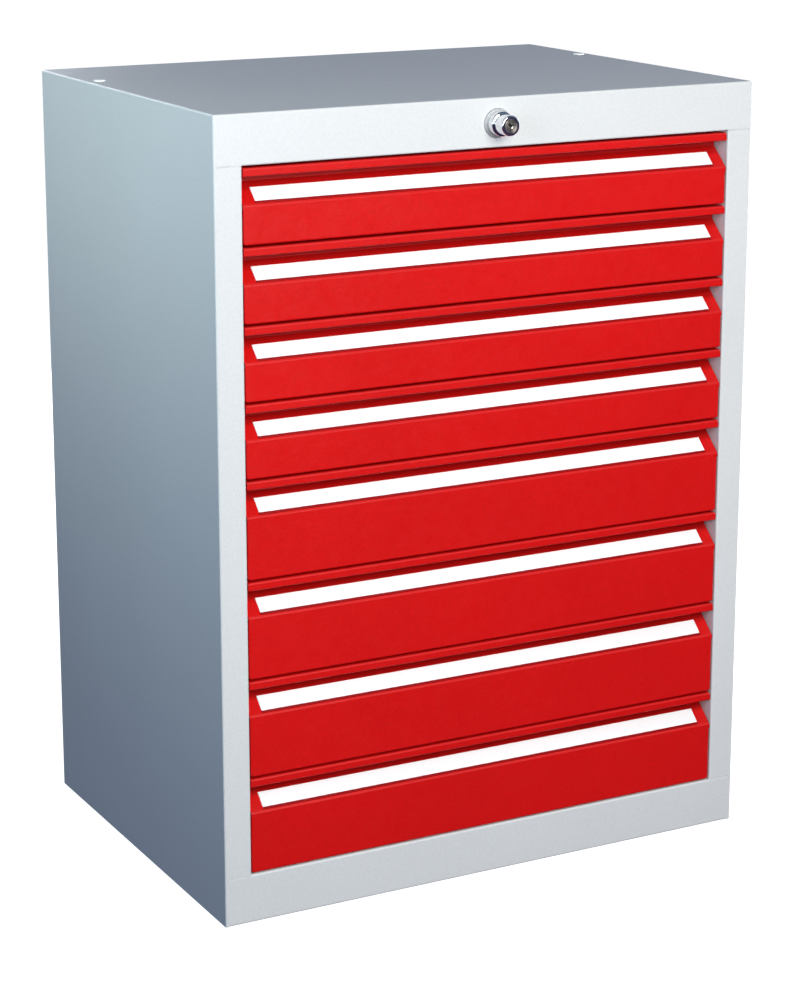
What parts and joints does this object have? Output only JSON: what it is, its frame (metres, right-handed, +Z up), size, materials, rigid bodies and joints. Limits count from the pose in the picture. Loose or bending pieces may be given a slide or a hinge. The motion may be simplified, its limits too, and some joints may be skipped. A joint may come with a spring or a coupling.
{
  "type": "industrial drawer cabinet",
  "caption": "Floor-standing sheet-steel cabinet with a stack of shallow and deep drawers on full-extension slides, folded finger grips, label strips and a push-button lock.",
  "frame": {"origin": "on the floor, in the middle of the whole footprint, the lock's knob included", "axes": "+X to the right of someone who faces the drawers, -Y towards them, +Z up"},
  "size_m": [0.6, 0.467, 0.8015],
  "materials": {
    "cabinet_grey": "light grey powder coat, fine texture, semi-gloss",
    "drawer_red": "red powder coat, fine texture, semi-gloss",
    "tray_grey": "light grey powder coat, semi-matt",
    "zinc_sheet": "zinc-plated, dull",
    "slide_steel": "bright zinc-plated, lightly greased",
    "lock_chrome": "polished",
    "lock_nickel": "dark nickel, satin",
    "label_white": "smooth white strip",
    "cap_white": "moulded, satin"
  },
  "bodies": {
    "cabinet": {"left_side_panel": "cabinet_grey", "right_side_panel": "cabinet_grey", "top_panel": "cabinet_grey", "base_panel": "cabinet_grey", "back_panel": "cabinet_grey", "slide_uprights": "zinc_sheet", "slide_channels": "slide_steel", "top_caps": "cap_white", "lock_rosette": "lock_chrome", "lock_housing": "lock_chrome", "lock_nut": "zinc_sheet", "lock_rod_bracket": "zinc_sheet", "lock_bar_guides": "zinc_sheet"},
    "drawer_1": {"drawer_1_front": "drawer_red", "drawer_1_label": "label_white", "drawer_1_tray": "tray_grey", "drawer_1_runners": "slide_steel"},
    "slide_1": {"drawer_1_slide_middles": "slide_steel"},
    "drawer_2": {"drawer_2_front": "drawer_red", "drawer_2_label": "label_white", "drawer_2_tray": "tray_grey", "drawer_2_runners": "slide_steel"},
    "slide_2": {"drawer_2_slide_middles": "slide_steel"},
    "drawer_3": {"drawer_3_front": "drawer_red", "drawer_3_label": "label_white", "drawer_3_tray": "tray_grey", "drawer_3_runners": "slide_steel"},
    "slide_3": {"drawer_3_slide_middles": "slide_steel"},
    "drawer_4": {"drawer_4_front": "drawer_red", "drawer_4_label": "label_white", "drawer_4_tray": "tray_grey", "drawer_4_runners": "slide_steel"},
    "slide_4": {"drawer_4_slide_middles": "slide_steel"},
    "drawer_5": {"drawer_5_front": "drawer_red", "drawer_5_label": "label_white", "drawer_5_tray": "tray_grey", "drawer_5_runners": "slide_steel"},
    "slide_5": {"drawer_5_slide_middles": "slide_steel"},
    "drawer_6": {"drawer_6_front": "drawer_red", "drawer_6_label": "label_white", "drawer_6_tray": "tray_grey", "drawer_6_runners": "slide_steel"},
    "slide_6": {"drawer_6_slide_middles": "slide_steel"},
    "drawer_7": {"drawer_7_front": "drawer_red", "drawer_7_label": "label_white", "drawer_7_tray": "tray_grey", "drawer_7_runners": "slide_steel"},
    "slide_7": {"drawer_7_slide_middles": "slide_steel"},
    "drawer_8": {"drawer_8_front": "drawer_red", "drawer_8_label": "label_white", "drawer_8_tray": "tray_grey", "drawer_8_runners": "slide_steel"},
    "slide_8": {"drawer_8_slide_middles": "slide_steel"},
    "lock_barrel": {"lock_barrel": "lock_chrome", "lock_rod": "zinc_sheet"},
    "lock_core": {"lock_core": "lock_nickel"},
    "lock_bar": {"lock_bar": "zinc_sheet"}
  },
  "joints": [
    {"name": "drawer_1_slide", "type": "slide", "parent": "cabinet", "child": "drawer_1", "axis": [0, -1, 0], "range_m": [0, 0.38]},
    {"name": "slide_1_middle", "type": "slide", "parent": "cabinet", "child": "slide_1", "axis": [0, -1, 0], "range_m": [0, 0.19]},
    {"name": "drawer_2_slide", "type": "slide", "parent": "cabinet", "child": "drawer_2", "axis": [0, -1, 0], "range_m": [0, 0.38]},
    {"name": "slide_2_middle", "type": "slide", "parent": "cabinet", "child": "slide_2", "axis": [0, -1, 0], "range_m": [0, 0.19]},
    {"name": "drawer_3_slide", "type": "slide", "parent": "cabinet", "child": "drawer_3", "axis": [0, -1, 0], "range_m": [0, 0.38]},
    {"name": "slide_3_middle", "type": "slide", "parent": "cabinet", "child": "slide_3", "axis": [0, -1, 0], "range_m": [0, 0.19]},
    {"name": "drawer_4_slide", "type": "slide", "parent": "cabinet", "child": "drawer_4", "axis": [0, -1, 0], "range_m": [0, 0.38]},
    {"name": "slide_4_middle", "type": "slide", "parent": "cabinet", "child": "slide_4", "axis": [0, -1, 0], "range_m": [0, 0.19]},
    {"name": "drawer_5_slide", "type": "slide", "parent": "cabinet", "child": "drawer_5", "axis": [0, -1, 0], "range_m": [0, 0.38]},
    {"name": "slide_5_middle", "type": "slide", "parent": "cabinet", "child": "slide_5", "axis": [0, -1, 0], "range_m": [0, 0.19]},
    {"name": "drawer_6_slide", "type": "slide", "parent": "cabinet", "child": "drawer_6", "axis": [0, -1, 0], "range_m": [0, 0.38]},
    {"name": "slide_6_middle", "type": "slide", "parent": "cabinet", "child": "slide_6", "axis": [0, -1, 0], "range_m": [0, 0.19]},
    {"name": "drawer_7_slide", "type": "slide", "parent": "cabinet", "child": "drawer_7", "axis": [0, -1, 0], "range_m": [0, 0.38]},
    {"name": "slide_7_middle", "type": "slide", "parent": "cabinet", "child": "slide_7", "axis": [0, -1, 0], "range_m": [0, 0.19]},
    {"name": "drawer_8_slide", "type": "slide", "parent": "cabinet", "child": "drawer_8", "axis": [0, -1, 0], "range_m": [0, 0.38]},
    {"name": "slide_8_middle", "type": "slide", "parent": "cabinet", "child": "slide_8", "axis": [0, -1, 0], "range_m": [0, 0.19]},
    {"name": "lock_push", "type": "slide", "parent": "cabinet", "child": "lock_barrel", "axis": [0, 1, 0], "range_m": [0, 0.009], "stiffness_N_per_m": 400, "springref_m": -0.004},
    {"name": "lock_core_turn", "type": "hinge", "parent": "lock_barrel", "child": "lock_core", "pos_m": [0, -0.2315, 0.775], "axis": [0, 1, 0], "range_deg": [0, 90]},
    {"name": "lock_bar_lift", "type": "slide", "parent": "cabinet", "child": "lock_bar", "axis": [0, 0, 1], "range_m": [0, 0.009]}
  ],
  "couplings": [
    {"joint": "slide_1_middle", "follows": "drawer_1_slide", "ratio": 0.5},
    {"joint": "slide_2_middle", "follows": "drawer_2_slide", "ratio": 0.5},
    {"joint": "slide_3_middle", "follows": "drawer_3_slide", "ratio": 0.5},
    {"joint": "slide_4_middle", "follows": "drawer_4_slide", "ratio": 0.5},
    {"joint": "slide_5_middle", "follows": "drawer_5_slide", "ratio": 0.5},
    {"joint": "slide_6_middle", "follows": "drawer_6_slide", "ratio": 0.5},
    {"joint": "slide_7_middle", "follows": "drawer_7_slide", "ratio": 0.5},
    {"joint": "slide_8_middle", "follows": "drawer_8_slide", "ratio": 0.5},
    {"joint": "lock_bar_lift", "follows": "lock_push", "ratio": 1}
  ]
}
